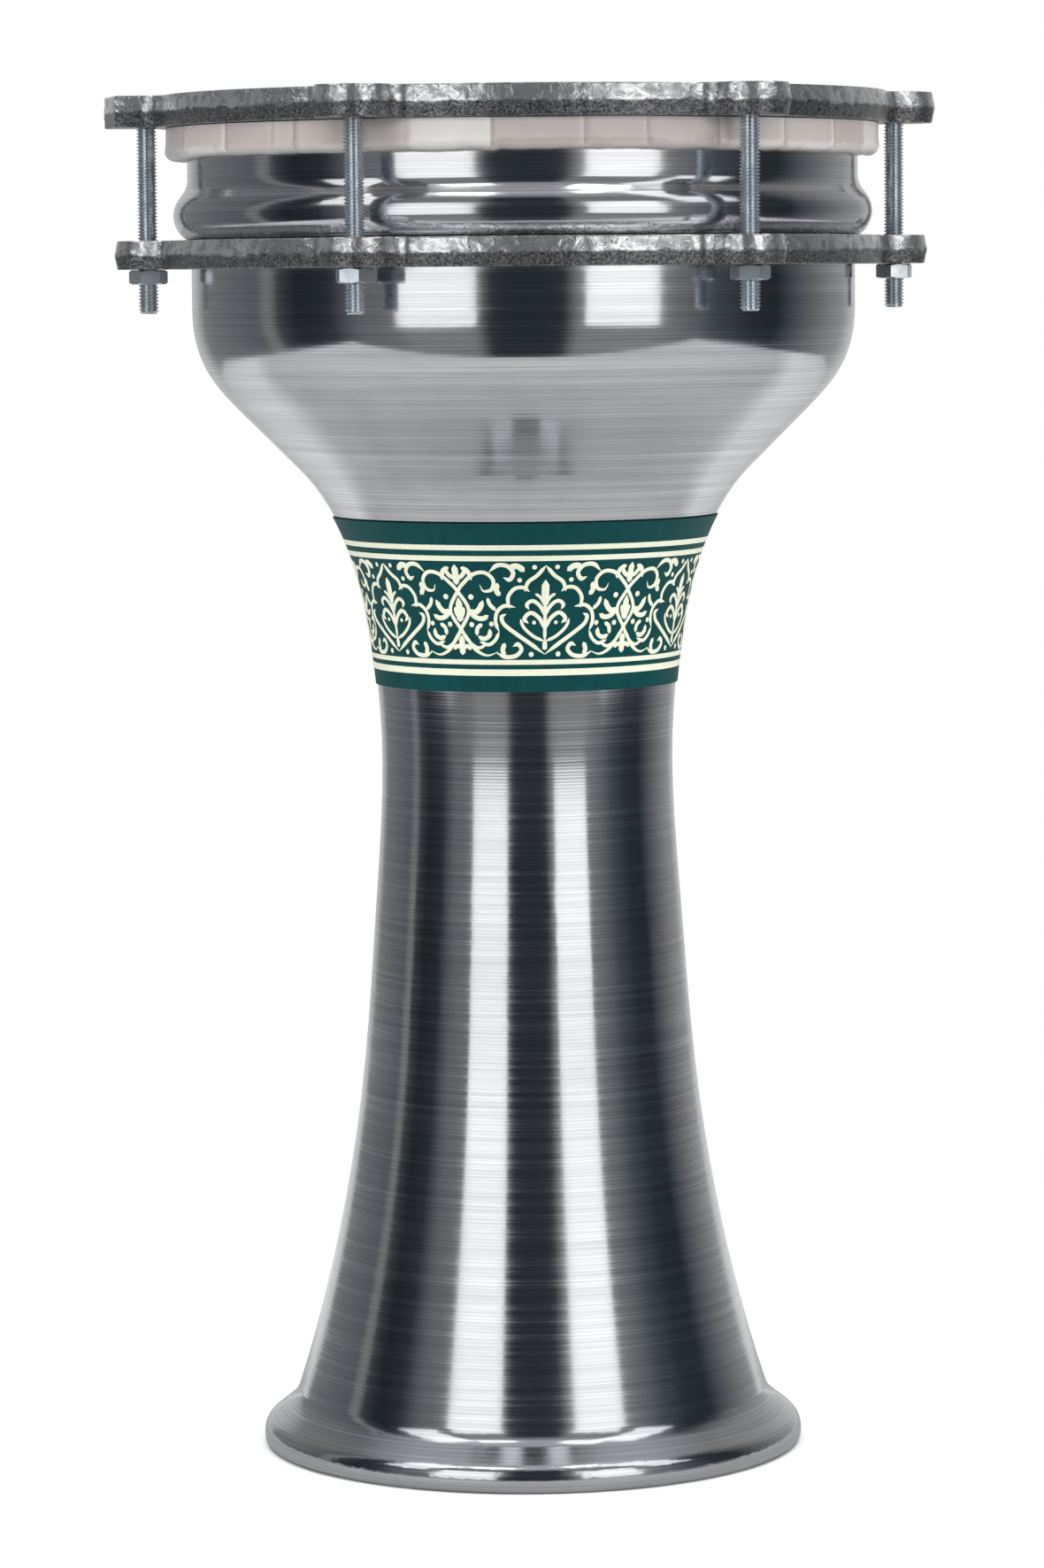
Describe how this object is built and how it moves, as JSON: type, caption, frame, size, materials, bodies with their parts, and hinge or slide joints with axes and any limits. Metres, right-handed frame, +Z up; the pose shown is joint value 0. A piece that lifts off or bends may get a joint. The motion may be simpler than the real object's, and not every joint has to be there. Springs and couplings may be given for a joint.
{
  "type": "goblet drum",
  "caption": "Goblet drum with a spun aluminium shell, an ornamented neck band, a tucked film head, and two cast lugged rings drawn together by long screws and nuts.",
  "frame": {"origin": "centre of the foot on the floor", "axes": "+Z up the drum's axis, towards the head; +X through one pair of lugs"},
  "size_m": [0.2491, 0.2196, 0.4065],
  "materials": {
    "spun_aluminium": "polished, with fine circumferential lathe lines",
    "printed_band": "satin printed sleeve, dark teal with cream ornament",
    "drum_film": "milky polyester film, folded into tabs",
    "hoop_aluminium": "plain drawn bar",
    "cast_aluminium": "sand cast, linished on top, rough at the parting line",
    "zinc_steel": "bright zinc plate with a bluish tint"
  },
  "bodies": {
    "shell": {"shell_bowl": "spun_aluminium", "shell_throat": "spun_aluminium", "neck_band": "printed_band", "head_film": "drum_film", "head_hoop": "hoop_aluminium", "bottom_ring": "cast_aluminium"},
    "tension_frame": {"top_ring": "cast_aluminium", "tension_screw_1": "zinc_steel", "tension_screw_2": "zinc_steel", "tension_screw_3": "zinc_steel", "tension_screw_4": "zinc_steel", "tension_screw_5": "zinc_steel", "tension_screw_6": "zinc_steel"},
    "nut_1": {"tension_nut_1": "zinc_steel"},
    "nut_2": {"tension_nut_2": "zinc_steel"},
    "nut_3": {"tension_nut_3": "zinc_steel"},
    "nut_4": {"tension_nut_4": "zinc_steel"},
    "nut_5": {"tension_nut_5": "zinc_steel"},
    "nut_6": {"tension_nut_6": "zinc_steel"}
  },
  "joints": [
    {"name": "nut_1_turn", "type": "hinge", "parent": "shell", "child": "nut_1", "pos_m": [0.112, 0, 0.353], "axis": [0, 0, -1], "range_deg": [0, 2880]},
    {"name": "nut_2_turn", "type": "hinge", "parent": "shell", "child": "nut_2", "pos_m": [0.056, 0.09699, 0.353], "axis": [0, 0, -1], "range_deg": [0, 2880]},
    {"name": "nut_3_turn", "type": "hinge", "parent": "shell", "child": "nut_3", "pos_m": [-0.056, 0.09699, 0.353], "axis": [0, 0, -1], "range_deg": [0, 2880]},
    {"name": "nut_4_turn", "type": "hinge", "parent": "shell", "child": "nut_4", "pos_m": [-0.112, 0, 0.353], "axis": [0, 0, -1], "range_deg": [0, 2880]},
    {"name": "nut_5_turn", "type": "hinge", "parent": "shell", "child": "nut_5", "pos_m": [-0.056, -0.09699, 0.353], "axis": [0, 0, -1], "range_deg": [0, 2880]},
    {"name": "nut_6_turn", "type": "hinge", "parent": "shell", "child": "nut_6", "pos_m": [0.056, -0.09699, 0.353], "axis": [0, 0, -1], "range_deg": [0, 2880]},
    {"name": "ring_travel", "type": "slide", "parent": "shell", "child": "tension_frame", "axis": [0, 0, 1], "range_m": [0, 0.008]}
  ],
  "couplings": [
    {"joint": "nut_1_turn", "follows": "ring_travel", "rad_per_m": 6283.2},
    {"joint": "nut_2_turn", "follows": "ring_travel", "rad_per_m": 6283.2},
    {"joint": "nut_3_turn", "follows": "ring_travel", "rad_per_m": 6283.2},
    {"joint": "nut_4_turn", "follows": "ring_travel", "rad_per_m": 6283.2},
    {"joint": "nut_5_turn", "follows": "ring_travel", "rad_per_m": 6283.2},
    {"joint": "nut_6_turn", "follows": "ring_travel", "rad_per_m": 6283.2}
  ]
}
